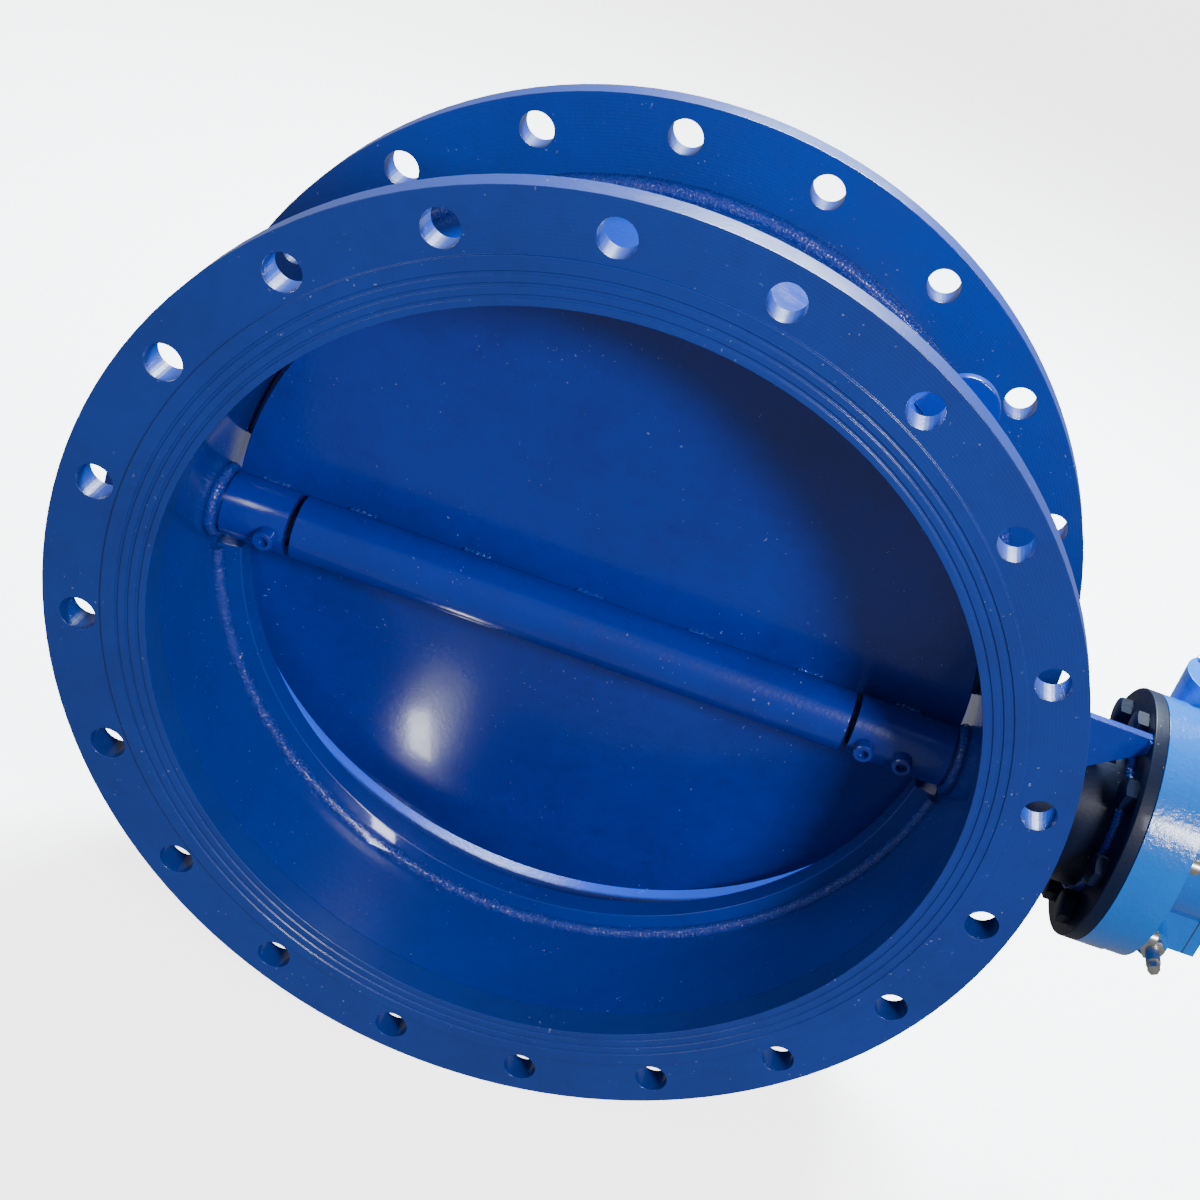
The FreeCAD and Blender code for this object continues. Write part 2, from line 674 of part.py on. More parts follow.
def make_housing(rim_holes):
    rim = rod(X, rim_radius, base_end, rim_end)
    case = case_outline(0, base_end, case_end)
    worm_tube = rod(Z, worm_case_radius, -worm_case_end, worm_case_end, worm_axis)
    solid = rim.fuse(case).fuse(worm_tube)
    boss_end = -stop_boss_end
    for side in (1, -1):
        boss = rod(Y, stop_boss_radius, boss_end, 0,
                   FreeCAD.Vector(gear_plane, 0, side * stop_screw_height))
        solid = solid.fuse(boss)
    solid = solid.removeSplitter()
    floor = base_end + case_floor
    swing = rod(X, gear_tip_radius + case_gap, floor, case_end)
    swing_side = block(floor, case_end, -swing_reach, case_radius, -case_radius, case_radius)
    swing = swing.common(swing_side)
    centre = rod(X, gear_hub_radius + case_gap, floor, case_end)
    solid = solid.cut(swing.fuse(centre))
    solid = solid.cut(rod(X, shaft_radius + slip_gap, base_end, floor))
    solid = solid.cut(rod(Z, bearing_radius, -worm_case_end, worm_case_end, worm_axis))
    for side in (1, -1):
        spot = FreeCAD.Vector(gear_plane, 0, side * stop_screw_height)
        solid = solid.cut(rod(Y, stop_screw_diameter / 2, boss_end, 0, spot))
    screws, holes = cover_screws()
    solid = cut_all(solid, holes)
    solid = cut_all(solid, rim_holes)
    solid = cut_all(solid, worm_cap_holes())
    keep("gearbox_housing", solid)
    keep("cover_bolts", *screws)
    gasket = case_outline(0, case_end, case_end + cover_gasket_thickness)
    inside = case_outline(-case_wall, case_end, case_end + cover_gasket_thickness)
    keep("cover_gasket", cut_all(gasket.cut(inside), holes))
    cover = case_outline(0, case_end + cover_gasket_thickness, cover_end)
    cover = cover.cut(rod(X, shaft_radius + running_gap, case_end, cover_end))
    keep("gearbox_cover", cut_all(cover, holes))


def worm_cap_spots():
    reach = bearing_radius + worm_case_wall / 2
    return [worm_axis + FreeCAD.Vector(reach * math.cos(math.radians(angle)),
                                       reach * math.sin(math.radians(angle)), 0)
            for angle in evenly(4, 45)]


def worm_cap_holes():
    holes = []
    bottom = worm_case_end - worm_cap_screw_depth
    top = worm_case_end + worm_cap_thickness
    for spot in worm_cap_spots():
        holes.append(rod(Z, worm_cap_screw / 2, bottom, top, spot))
        holes.append(rod(Z, worm_cap_screw / 2, -top, -bottom, spot))
    return holes


def make_worm_caps():
    top = worm_case_end + worm_cap_thickness
    upper = tube(Z, worm_case_radius, seal_radius, worm_case_end, top, worm_axis)
    lower = rod(Z, worm_case_radius, -top, -worm_case_end, worm_axis)
    holes = worm_cap_holes()
    keep("worm_top_cap", cut_all(upper, holes))
    keep("worm_end_cap", cut_all(lower, holes))
    bolts = []
    for spot in worm_cap_spots():
        bolts.append(hex_bolt(worm_cap_screw, Z, top, worm_case_end - worm_cap_screw_depth, spot))
        bolts.append(hex_bolt(worm_cap_screw, Z, -top, -worm_case_end + worm_cap_screw_depth, spot))
    keep("worm_cap_bolts", *bolts)
    inner = worm_journal / 2 + running_gap
    keep("worm_shaft_seal", tube(Z, seal_radius, inner, worm_case_end, top, worm_axis))
    upper = tube(Z, bearing_radius, inner, bearing_inner_end, worm_case_end, worm_axis)
    lower = tube(Z, bearing_radius, inner, -worm_case_end, -bearing_inner_end, worm_axis)
    keep("worm_bearings", upper, lower)


def tooth_gap(angle, width):
    """Slot between two teeth, leaning with the worm's lead."""
    slope = math.radians(flank_angle + 90.0 / gear_teeth)
    half = worm_pitch / 4 + flank_play / 2
    low = gear_root_radius
    high = gear_tip_radius + tool_overrun
    low_half = half - (gear_pitch_radius - low) * math.tan(slope)
    high_half = half + (high - gear_pitch_radius) * math.tan(slope)
    corners = [(low, -low_half), (low, low_half), (high, high_half), (high, -high_half)]
    face = polygon_face([FreeCAD.Vector(-width, y, z) for y, z in corners])
    slot = face.extrude(X * (2 * width))
    lead = math.degrees(math.atan(worm_pitch / (2 * math.pi * worm_pitch_radius)))
    slot = moved(turned(slot, Y, lead), X * gear_plane)
    return turned(slot, X, angle)


def make_sector_gear():
    half = gear_width / 2
    start = gear_plane - half
    boss_start = gear_plane - gear_hub_length / 2
    boss_end = gear_plane + gear_hub_length / 2
    hub = rod(X, gear_hub_radius, boss_start, boss_end)
    rim = Part.makeCylinder(gear_tip_radius, gear_width, FreeCAD.Vector(start, 0, 0), X,
                            2 * sector_half_angle)
    middle = rim.CenterOfMass
    facing = math.degrees(math.atan2(middle.z, middle.y))
    rim = turned(rim, X, -facing)
    gear = hub.fuse(rim).removeSplitter()
    step = 360.0 / gear_teeth
    count = int(sector_half_angle / step)
    slots = [tooth_gap(step * index, gear_width) for index in range(-count, count + 1)]
    gear = cut_all(gear, slots)
    gear = turned(gear, X, closed_sector_angle)
    gear = gear.cut(rod(X, shaft_radius, boss_start, boss_end)).cut(key_block())
    keep("sector_gear", with_disc(gear))
    keep("gear_key", with_disc(key_block()))


def make_worm():
    """Left-hand worm, so that turning the handwheel clockwise closes the disc."""
    slope = math.tan(math.radians(flank_angle))
    half = worm_pitch / 4 - flank_play / 2
    low = worm_root_radius - seat_gap
    low_half = half + (worm_pitch_radius - low) * slope
    high_half = half - (worm_tip_radius - worm_pitch_radius) * slope
    base = -worm_length / 2 + worm_pitch / 4
    turns_height = worm_length - worm_pitch / 2
    section = Part.makePolygon([FreeCAD.Vector(low, 0, base - low_half),
                                FreeCAD.Vector(worm_tip_radius, 0, base - high_half),
                                FreeCAD.Vector(worm_tip_radius, 0, base + high_half),
                                FreeCAD.Vector(low, 0, base + low_half),
                                FreeCAD.Vector(low, 0, base - low_half)])
    path = Part.makeHelix(worm_pitch, turns_height, low, 0, True)
    path.translate(Z * base)
    thread = Part.Wire(path.Edges).makePipeShell([section], True, True)
    core = rod(Z, worm_root_radius, -bearing_inner_end + washer_play, bearing_inner_end - washer_play)
    hub_top = handwheel_height + handwheel_hub_length / 2
    spindle = rod(Z, worm_journal / 2, -worm_case_end + washer_play, hub_top + spindle_end_length)
    worm = core.fuse(spindle).fuse(thread).removeSplitter()
    worm = moved(turned(worm, Z, worm_phase()), worm_axis)
    worm = worm.cut(wheel_key())
    keep("worm_shaft", worm)


def worm_phase():
    """Turns the thread so that a thread meets a tooth gap at the resting opening."""
    closed_gap = worm_pitch / 2
    start_height = -worm_length / 2 + worm_pitch / 2
    shift = (closed_gap - start_height) % worm_pitch
    return 360.0 * shift / worm_pitch + rest_worm_turn


def wheel_key():
    half = handwheel_hub_length / 2 - handwheel_key_margin
    edge = worm_journal / 2
    half_key = handwheel_key / 2
    key = block(edge - half_key, edge + half_key, -half_key, half_key,
                handwheel_height - half, handwheel_height + half)
    return moved(key, worm_axis)


def make_handwheel():
    centre = worm_axis + Z * handwheel_height
    half = handwheel_hub_length / 2
    rim = Part.makeTorus(handwheel_radius - handwheel_rim_radius, handwheel_rim_radius, centre, Z)
    hub = tube(Z, handwheel_hub_radius, worm_journal / 2, -half, half, centre)
    wheel = hub.fuse(rim)
    inner_end = (handwheel_hub_radius + worm_journal / 2) / 2
    for angle in evenly(spoke_count, spoke_angle):
        way = FreeCAD.Vector(math.cos(math.radians(angle)), math.sin(math.radians(angle)), 0)
        spoke = rod(way, spoke_radius, inner_end, handwheel_radius - handwheel_rim_radius, centre)
        wheel = wheel.fuse(spoke)
    wheel = wheel.removeSplitter().cut(wheel_key())
    keep("handwheel", wheel)
    keep("handwheel_key", wheel_key())
    washer_top = half + handwheel_washer_height
    nut_top = washer_top + handwheel_nut_height
    washer = tube(Z, handwheel_washer_radius, worm_journal / 2, half, washer_top, centre)
    nut = hexagon(handwheel_nut_flats, Z, washer_top, nut_top, centre)
    nut = nut.cut(rod(Z, worm_journal / 2, washer_top, nut_top, centre))
    keep("handwheel_washer", washer)
    keep("handwheel_nut", nut)


def make_stop_screws():
    """The tip stands just clear of the gear's end when the disc is shut or fully open."""
    end_angle = sector_past_shaft
    tip = -stop_screw_height * math.tan(end_angle)
    tip -= stop_screw_diameter / 2 * math.tan(end_angle) + seat_gap
    screws = []
    nuts = []
    face = -stop_boss_end
    head_seat = face - stop_screw_length
    for side in (1, -1):
        spot = FreeCAD.Vector(gear_plane, 0, side * stop_screw_height)
        screw = rod(Y, stop_screw_diameter / 2, head_seat, tip, spot)
        head = hexagon(stop_screw_flats, Y, head_seat - stop_screw_head, head_seat, spot)
        screws.append(screw.fuse(head).removeSplitter())
        nut = hexagon(1.5 * stop_screw_diameter, Y, face - stop_screw_head, face, spot)
        nuts.append(nut.cut(rod(Y, stop_screw_diameter / 2, face - stop_screw_head, face, spot)))
    keep("stop_screws", *screws)
    keep("stop_locknuts", *nuts)


def make_indicator():
    dial = tube(X, shaft_radius + dial_rim, shaft_radius + slip_gap, cover_end, cover_end + dial_thickness)
    keep("indicator_dial", dial)
    start = cover_end + dial_thickness + seat_gap
    end = start + pointer_thickness
    boss_radius = shaft_radius + pointer_rim
    boss = rod(X, boss_radius, start, end)
    arm = block(start, end, -pointer_width / 2, pointer_width / 2, 0, boss_radius + pointer_tip)
    pointer = boss.fuse(arm).removeSplitter().cut(rod(X, shaft_radius, start, end))
    keep("pointer", with_disc(pointer))
    cap_end = shaft_end + pointer_washer_height
    cap = tube(X, boss_radius, pointer_screw_diameter / 2, shaft_end, cap_end)
    low = tube(X, boss_radius, shaft_radius, end, shaft_end)
    keep("pointer_washer", with_disc(cap.fuse(low).removeSplitter()))
    screw = hex_bolt(pointer_screw_diameter, X, cap_end, shaft_end - pointer_screw_depth)
    keep("pointer_screw", with_disc(screw))


def build_all():
    make_shell()
    make_flange("front_flange", front_plate, shell_front, front_face, -1)
    make_flange("rear_flange", shell_rear, rear_plate, rear_face, 1)
    make_flange_welds()
    make_stop_rings()
    make_lifting_lugs()
    make_disc()
    make_stitch_welds()
    make_shafts()
    make_bushes()
    make_tail_end()
    bolt_holes = make_neck()
    make_gussets()
    make_stuffing_box()
    rim_holes = make_base(bolt_holes)
    make_housing(rim_holes)
    make_worm_caps()
    make_sector_gear()
    make_worm()
    make_handwheel()
    make_stop_screws()
    make_indicator()


build_all()
os.makedirs("parts", exist_ok=True)
for name, shape in nodes.items():
    shape.exportStep("parts/" + name + ".step")
    print(name, len(shape.Solids), round(shape.Volume / 1000.0, 1), shape.isValid())
print(len(nodes), "nodes")
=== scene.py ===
# %% [markdown]
# # A flanged butterfly valve with a worm gearbox
#
# The valve is a short welded pipe with a flange at each end. A flat disc on a
# cross shaft shuts it, and a worm gearbox with a handwheel turns the shaft.
# The solid shapes come from the CAD frame. This lesson gives them rounded
# edges, weld beads, real screws and coats of paint.
#
# The frame is loaded first, and its box is kept for the camera and the floor.

# %% Load the frame
import json
import math

import bmesh
import bpy
from mathutils import Matrix, Quaternion, Vector


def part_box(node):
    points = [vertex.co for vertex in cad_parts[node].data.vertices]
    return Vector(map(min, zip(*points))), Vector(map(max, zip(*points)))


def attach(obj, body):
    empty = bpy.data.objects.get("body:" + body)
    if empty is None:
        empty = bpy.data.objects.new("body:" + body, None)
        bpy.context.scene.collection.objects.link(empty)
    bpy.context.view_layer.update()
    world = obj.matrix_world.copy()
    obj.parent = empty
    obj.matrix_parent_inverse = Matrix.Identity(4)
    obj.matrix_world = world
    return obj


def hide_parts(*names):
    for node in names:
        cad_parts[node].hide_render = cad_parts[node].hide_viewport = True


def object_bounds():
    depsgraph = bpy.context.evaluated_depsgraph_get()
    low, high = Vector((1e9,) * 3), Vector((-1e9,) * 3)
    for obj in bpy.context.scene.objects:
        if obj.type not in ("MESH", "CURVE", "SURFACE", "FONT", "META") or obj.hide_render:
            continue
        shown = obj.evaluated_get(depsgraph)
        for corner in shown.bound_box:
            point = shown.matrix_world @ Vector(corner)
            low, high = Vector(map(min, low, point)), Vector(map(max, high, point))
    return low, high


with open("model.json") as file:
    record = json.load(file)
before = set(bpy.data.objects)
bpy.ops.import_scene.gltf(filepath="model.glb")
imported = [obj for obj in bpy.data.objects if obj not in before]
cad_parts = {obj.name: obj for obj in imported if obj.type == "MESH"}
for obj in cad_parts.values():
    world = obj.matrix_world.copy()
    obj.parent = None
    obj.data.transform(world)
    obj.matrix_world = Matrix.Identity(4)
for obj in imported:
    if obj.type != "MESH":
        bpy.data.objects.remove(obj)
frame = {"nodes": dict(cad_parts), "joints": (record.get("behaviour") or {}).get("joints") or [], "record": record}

cad_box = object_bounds()
MM = 0.001
MERGE_DISTANCE = 0.004 * MM
SHARP_ANGLE = math.radians(40)
bodies = frame["record"]["behaviour"]["bodies"]
body_of = {node: body for body, members in bodies.items() for node in members}
slot_of = {part["node"]: part["material_slot"] for part in frame["record"]["subparts"]}
print("nodes", len(body_of), "box", [tuple(round(v, 3) for v in corner) for corner in cad_box])

# %% [markdown]
# ## Camera
#
# The valve stands on its flanges and is seen from the front and above, with
# the camera rolled so that the shaft runs down to the right. A camera's pose is
# a matrix whose columns are its right, up and backward directions and its
# place. Writing these down is exact, where angles would need an order of turns.
# A small lens shift keeps the right end of the shaft running out of the frame.

# %% Camera
right = Vector((0.93741, 0.09551, 0.33488))
up = Vector((-0.33185, 0.53648, 0.77593))
forward = Vector((0.10555, 0.83849, -0.53460))
eye = Vector((0.06033, -1.17638, 0.73065))
lens_data = bpy.data.cameras.new("valve_camera")
lens_data.sensor_width = 36.0
lens_data.lens = 52.834
lens_data.shift_x = -0.2
lens_data.shift_y = 0.1167
lens_data.clip_start = 0.05
camera = bpy.data.objects.new("valve_camera", lens_data)
camera.matrix_world = Matrix((
    (right.x, up.x, -forward.x, eye.x),
    (right.y, up.y, -forward.y, eye.y),
    (right.z, up.z, -forward.z, eye.z),
    (0, 0, 0, 1)))
bpy.context.scene.collection.objects.link(camera)
bpy.context.scene.camera = camera
print("camera", round((eye - (cad_box[0] + cad_box[1]) / 2).length, 2), "m from the middle")

# %% [markdown]
# ## Floor
#
# A pale, matt floor carries the valve and sits a hair under the flanges. A
# plain dome of the same finish closes the view above the horizon. Both are
# hidden from reflections, so that the paint does not mirror them.

# %% Floor
FLOOR_HALF = 30.0
FLOOR_DROP = 0.5 * MM
DOME_RADIUS = FLOOR_HALF * 0.8
floor_height = cad_box[0].z - FLOOR_DROP
floor_mesh = bpy.data.meshes.new("floor")
corners = [(-FLOOR_HALF, -FLOOR_HALF), (FLOOR_HALF, -FLOOR_HALF),
           (FLOOR_HALF, FLOOR_HALF), (-FLOOR_HALF, FLOOR_HALF)]
floor_mesh.from_pydata([(x, y, floor_height) for x, y in corners], [], [(0, 1, 2, 3)])
floor = bpy.data.objects.new("floor", floor_mesh)
bpy.context.scene.collection.objects.link(floor)
floor.visible_glossy = False
floor.visible_diffuse = False
dome_mesh = bpy.data.meshes.new("dome")
work = bmesh.new()
bmesh.ops.create_icosphere(work, subdivisions=4, radius=DOME_RADIUS)
work.to_mesh(dome_mesh)
work.free()
dome = bpy.data.objects.new("dome", dome_mesh)
bpy.context.scene.collection.objects.link(dome)
dome.visible_glossy = False
dome.visible_diffuse = False
dome.visible_shadow = False
print("floor at", round(floor_height, 4))

# %% [markdown]
# ## Light
#
# Painted steel shows its shape by what it reflects, so the lights are soft
# panels under a dim sky. The key panel stands above and to the right, in front,
# and the wall of the pipe throws its shadow on the disc. A weak panel on the
# left opens that side, and one behind lights the rims and the lower wall.
#
# The disc carries one soft glint, from a small card in front of it. The card's
# place follows from the law of reflection: the ray to the eye is turned over
# about the disc's normal. It is only seen as a reflection.

# %% Light
def panel(name, place, target, width, height, power, colour=(1.0, 1.0, 1.0), lean=0.0):
    """A soft rectangular light that faces a target. lean turns it in its own plane, in degrees."""
    light = bpy.data.lights.new(name, "AREA")
    light.shape = "RECTANGLE"
    light.size, light.size_y = width, height
    light.energy = power
    light.color = colour
    lamp = bpy.data.objects.new(name, light)
    lamp.location = place
    facing = (Vector(target) - Vector(place)).to_track_quat("-Z", "Y")
    lamp.rotation_euler = (facing @ Quaternion((0, 0, 1), math.radians(lean))).to_euler()
    bpy.context.scene.collection.objects.link(lamp)
    return lamp


opening = math.radians(-frame["joints"][0]["range_deg"][0])
disc_facing = Vector((0, -math.cos(opening), -math.sin(opening)))
glint = Vector((-0.113, 0.046, -0.206))
CARD_REACH = 0.085
to_eye = (eye - glint).normalized()
mirrored = 2 * disc_facing.dot(to_eye) * disc_facing - to_eye
card_place = glint + mirrored * CARD_REACH
card = panel("glint_card", card_place, glint, 0.018, 0.080, 0.10, lean=14)
card.visible_camera = False
card.visible_diffuse = False
panel("key_panel", (1.7, -2.5, 1.8), (0, 0, 0), 0.7, 0.7, 120)
panel("left_panel", (-2.4, -1.2, 1.6), (0, 0, 0), 1.2, 1.6, 16)
panel("rear_panel", (0.25, 1.6, 1.9), (0, 0.1, -0.2), 1.0, 0.6, 330, (0.80, 0.94, 1.0))
world = bpy.data.worlds.new("studio_sky")
bpy.context.scene.world = world
world.use_nodes = True
sky = world.node_tree.nodes["Background"]
sky.inputs["Color"].default_value = (0.93, 0.96, 1.0, 1.0)
sky.inputs["Strength"].default_value = 0.30
print("card mirrored from", tuple(round(v, 3) for v in card_place))

# %% [markdown]
# ## A way to write nodes as arithmetic
#
# Both shaders and geometry are graphs of nodes. Placing each by hand in a
# script is long, so one small class adds a node of any type: its settings are
# made first, because they decide which sockets it has, and then its sockets are
# set or linked. A second class wraps a number that comes out of a node, so that
# `mask * 0.5 + 0.2` adds the Math nodes by itself.

# %% Nodes as arithmetic
class Flow:
    """A value that comes out of a node. Sums and products of it add Math nodes."""

    def __init__(self, graph, socket):
        self.graph = graph
        self.socket = socket

    def math(self, operation, *values):
        return self.graph.add("ShaderNodeMath", {"operation": operation},
                              dict(enumerate(values)))

    def __add__(self, other):
        return self.math("ADD", self, other)

    def __mul__(self, other):
        return self.math("MULTIPLY", self, other)

    def __sub__(self, other):
        return self.math("SUBTRACT", self, other)

    def __truediv__(self, other):
        return self.math("DIVIDE", self, other)

    def __pow__(self, other):
        return self.math("POWER", self, other)

    __radd__ = __add__

    def out(self, name):
        """Another output of the same node."""
        return Flow(self.graph, self.socket.node.outputs[name])


class Graph:
    """Adds nodes to one tree."""

    def __init__(self, tree):
        self.tree = tree

    def add(self, kind, settings=None, inputs=None, output=0):
        node = self.tree.nodes.new(kind)
        for name, value in (settings or {}).items():
            setattr(node, name, value)
        for name, value in (inputs or {}).items():
            if isinstance(value, Flow):
                self.tree.links.new(value.socket, node.inputs[name])
            else:
                node.inputs[name].default_value = value
        return Flow(self, node.outputs[output]) if node.outputs else node


print("graph helpers ready")

# %% [markdown]
# ## Surfaces that vary
#
# No real finish is one flat value. Every finish here starts from noise in the
# object's own coordinates, in metres, so a grain of 3 mm stays 3 mm on every
# piece. `grain` gives noise from 0 to 1, `band` picks part of it as a mask, and
# `blend` goes from one colour to another, since a Math node would turn a colour
# grey.

# %% Varied surfaces
class Finish(Graph):
    """One material, with the few patterns that its finish needs."""

    def __init__(self, name):
        self.material = bpy.data.materials.new(name)
        self.material.use_nodes = True
        super().__init__(self.material.node_tree)
        self.tree.nodes.clear()
        self.place = self.add("ShaderNodeTexCoord", output="Object")

    def grain(self, size, detail=2.0, roughness=0.5, stretch=None):
        """Noise whose features are about this size in metres."""
        where = self.place
        if stretch:
            where = self.add("ShaderNodeMapping", {}, {"Vector": self.place, "Scale": stretch})
        return self.add("ShaderNodeTexNoise", {"noise_dimensions": "3D"},
                        {"Vector": where, "Scale": 1.0 / size, "Detail": detail,
                         "Roughness": roughness})

    def band(self, value, low, high):
        """0 below low, 1 above high, smooth between."""
        settings = {"interpolation_type": "SMOOTHSTEP", "clamp": True}
        return self.add("ShaderNodeMapRange", settings,
                        {"Value": value, "From Min": low, "From Max": high})

    def blend(self, amount, first, second):
        """A colour between two colours."""
        sockets = {0: amount}
        for index, colour in ((6, first), (7, second)):
            sockets[index] = colour if isinstance(colour, Flow) else (*colour, 1.0)
        return self.add("ShaderNodeMix", {"data_type": "RGBA"}, sockets, output=2)

    def radius(self):
        """Distance from the pipe's axis."""
        axes = self.add("ShaderNodeSeparateXYZ", {}, {0: self.place})
        x, z = axes.out("X"), axes.out("Z")
        return (x * x + z * z) ** 0.5

    def relief(self, height, depth, strength=1.0, under=None):
        """A normal that follows a height from 0 to 1 times depth in metres, over one under it."""
        sockets = {"Strength": strength, "Distance": depth, "Height": height}
        if under:
            sockets["Normal"] = under
        return self.add("ShaderNodeBump", {}, sockets)

    def surface(self, colour, roughness, normal, **constants):
        """Joins the varied values to the shader. Constants go on its own sockets."""
        sockets = {"Base Color": colour, "Roughness": roughness, "Normal": normal}
        sockets.update({name.replace("_", " "): value for name, value in constants.items()})
        shader = self.add("ShaderNodeBsdfPrincipled", {}, sockets)
        self.add("ShaderNodeOutputMaterial", {}, {"Surface": shader})
        return self.material


print("finish helpers ready")

# %% [markdown]
# ## Paint
#
# The body is sprayed with a thick blue epoxy. It could be a plain blue gloss,
# but what tells the eye that it is paint is how uneven it is: orange peel of
# about 3 mm, a slower sag of some centimetres, patches where the coat is thin
# and duller, and specks of dust. The bead's coat is the same paint over a
# crinkled weld, the gearbox has a sky blue enamel over rough cast iron, and the
# neck, its plate and the gearbox's screws are made near black, with little shine.

# %% Paint
PEEL_SIZE, SAG_SIZE = 3.4 * MM, 30 * MM
RING_PITCH, RING_DEPTH = 2.6 * MM, 0.12 * MM
CASTING_SIZE, CRINKLE_SIZE = 7 * MM, 2.8 * MM
DUST_COLOUR = (0.55, 0.66, 0.80)


def paint(name, colour, thin, roughness, peel, casting=0.0, crinkle=0.0, turned_face=False,
          dust=0.25, coat=0.35, shine=0.5):
    """A sprayed coat. peel, casting and crinkle are depths in metres."""
    f = Finish(name)
    patches = f.band(f.grain(0.16, 4.0, 0.6), 0.35, 0.72)
    mottle = f.band(f.grain(0.012, 3.0, 0.6), 0.4, 0.8)
    specks = f.band(f.grain(0.0032, 1.0), 0.735, 0.775) * f.band(f.grain(0.05), 0.45, 0.65)
    tone = f.blend(patches * 0.55 + mottle * 0.25, colour, thin)
    tone = f.blend(specks * dust, tone, DUST_COLOUR)
    peel_height = f.grain(PEEL_SIZE, 1.5) * 0.65 + f.grain(SAG_SIZE, 2.0) * 0.35
    normal = f.relief(peel_height, peel)
    if turned_face:
        rings = f.radius() * (2 * math.pi / RING_PITCH)
        rings = rings.math("SINE", rings) * 0.5 + 0.5
        normal = f.relief(rings, RING_DEPTH, 0.35, normal)
    if casting:
        normal = f.relief(f.grain(CASTING_SIZE, 4.0, 0.65), casting, 0.8, normal)
    if crinkle:
        normal = f.relief(f.grain(CRINKLE_SIZE, 3.0, 0.6), crinkle, 0.9, normal)
    dull = roughness + patches * 0.10 + mottle * 0.05 + specks * 0.3
    return f.surface(tone, dull, normal, Coat_Weight=coat, Coat_Roughness=0.12,
                     Specular_IOR_Level=shine)


finishes = {
    "body_paint": paint("body_paint", (0.001, 0.032, 0.32), (0.001, 0.018, 0.22), 0.17, 0.00022),
    "flange_paint": paint("flange_paint", (0.005, 0.036, 0.28), (0.003, 0.022, 0.18), 0.30, 0.00020,
                          turned_face=True),
    "disc_paint": paint("disc_paint", (0.001, 0.024, 0.34), (0.001, 0.012, 0.19), 0.20, 0.00025),
    "neck_paint": paint("neck_paint", (0.003, 0.006, 0.024), (0.002, 0.010, 0.045), 0.42, 0.00020,
                        coat=0.05, shine=0.18),
    "weld_bead": paint("weld_bead", (0.002, 0.032, 0.34), (0.001, 0.018, 0.20), 0.11, 0.00015,
                       crinkle=0.0024, dust=0.6),
    "operator_paint": paint("operator_paint", (0.0, 0.165, 0.66), (0.0, 0.12, 0.55), 0.12,
                            0.00025, casting=0.0007),
    "handwheel_paint": paint("handwheel_paint", (0.0, 0.165, 0.66), (0.0, 0.13, 0.55), 0.14,
                             0.0002, casting=0.0004),
    "pointer_paint": paint("pointer_paint", (0.52, 0.02, 0.012), (0.40, 0.015, 0.01), 0.3, 0.0002),
}
print("paints", sorted(finishes))

# %% [markdown]
# ## Bare metal and packing
#
# Inside the body and the gearbox the parts are bare. Turned shafts carry fine
# marks round their axis, so their noise is squeezed along it. Zinc plate is
# cloudy and a little yellow, bronze is warmer, the gear has a film of grease,
# and graphite packing is dark and braided.

# %% Metal
def metal(name, colour, tarnish, roughness, marks, depth, cloud=0.02):
    """Bare metal. marks squeezes the fine grain along an axis, depth is its height in metres."""
    f = Finish(name)
    clouds = f.band(f.grain(cloud, 4.0, 0.6), 0.35, 0.7)
    fine = f.grain(0.0012, 2.0, 0.6, stretch=marks)
    smears = f.band(f.grain(0.006, 3.0, 0.55), 0.5, 0.75)
    tone = f.blend(clouds * 0.7 + smears * 0.3, colour, tarnish)
    rough = roughness + fine * 0.14 + smears * 0.12 - 0.07
    return f.surface(tone, rough, f.relief(fine, depth), Metallic=1.0)


def soft_black(name, colour, worn, size, depth):
    """Rubber or packing: matt, with a weave or mould grain of the given size."""
    f = Finish(name)
    weave = f.grain(size, 2.0, 0.5, stretch=(1.0, 2.2, 2.2))
    bloom = f.band(f.grain(0.015, 3.0), 0.4, 0.75)
    return f.surface(f.blend(bloom, colour, worn), weave * 0.2 + 0.6, f.relief(weave, depth))


finishes.update({
    "shaft_steel": metal("shaft_steel", (0.50, 0.50, 0.51), (0.36, 0.35, 0.34),
                         0.30, (8.0, 0.6, 0.6), 0.00003),
    "gear_iron": metal("gear_iron", (0.24, 0.24, 0.25), (0.10, 0.095, 0.08),
                       0.42, (1.0, 1.0, 1.0), 0.0001),
    "zinc_steel": metal("zinc_steel", (0.62, 0.60, 0.55), (0.42, 0.41, 0.39),
                        0.34, (1.0, 1.0, 1.0), 0.00005, 0.008),
    "bronze": metal("bronze", (0.62, 0.40, 0.17), (0.38, 0.25, 0.12),
                    0.34, (6.0, 0.6, 0.6), 0.00004),
    "bearing_steel": metal("bearing_steel", (0.60, 0.60, 0.62), (0.45, 0.45, 0.46),
                           0.18, (0.6, 0.6, 6.0), 0.00001),
    "dial_plate": metal("dial_plate", (0.75, 0.75, 0.76), (0.60, 0.60, 0.61),
                        0.32, (1.0, 12.0, 0.4), 0.00002),
    "graphite": soft_black("graphite", (0.020, 0.020, 0.022), (0.06, 0.06, 0.065), 0.002, 0.0004),
    "seal_rubber": soft_black("seal_rubber", (0.012, 0.012, 0.012), (0.03, 0.03, 0.032),
                              0.001, 0.0001),
})
f = Finish("floor_finish")
floor_tone = f.blend(f.band(f.grain(1.5, 3.0), 0.3, 0.7), (0.86, 0.86, 0.86), (0.84, 0.84, 0.845))
backdrop = f.surface(floor_tone, f.grain(0.4) * 0.1 + 0.8, f.relief(f.grain(0.004), 0.0001),
                     Emission_Color=(1.0, 1.0, 1.0, 1.0), Emission_Strength=3.3)
floor_mesh.materials.append(backdrop)
dome_mesh.materials.append(backdrop)


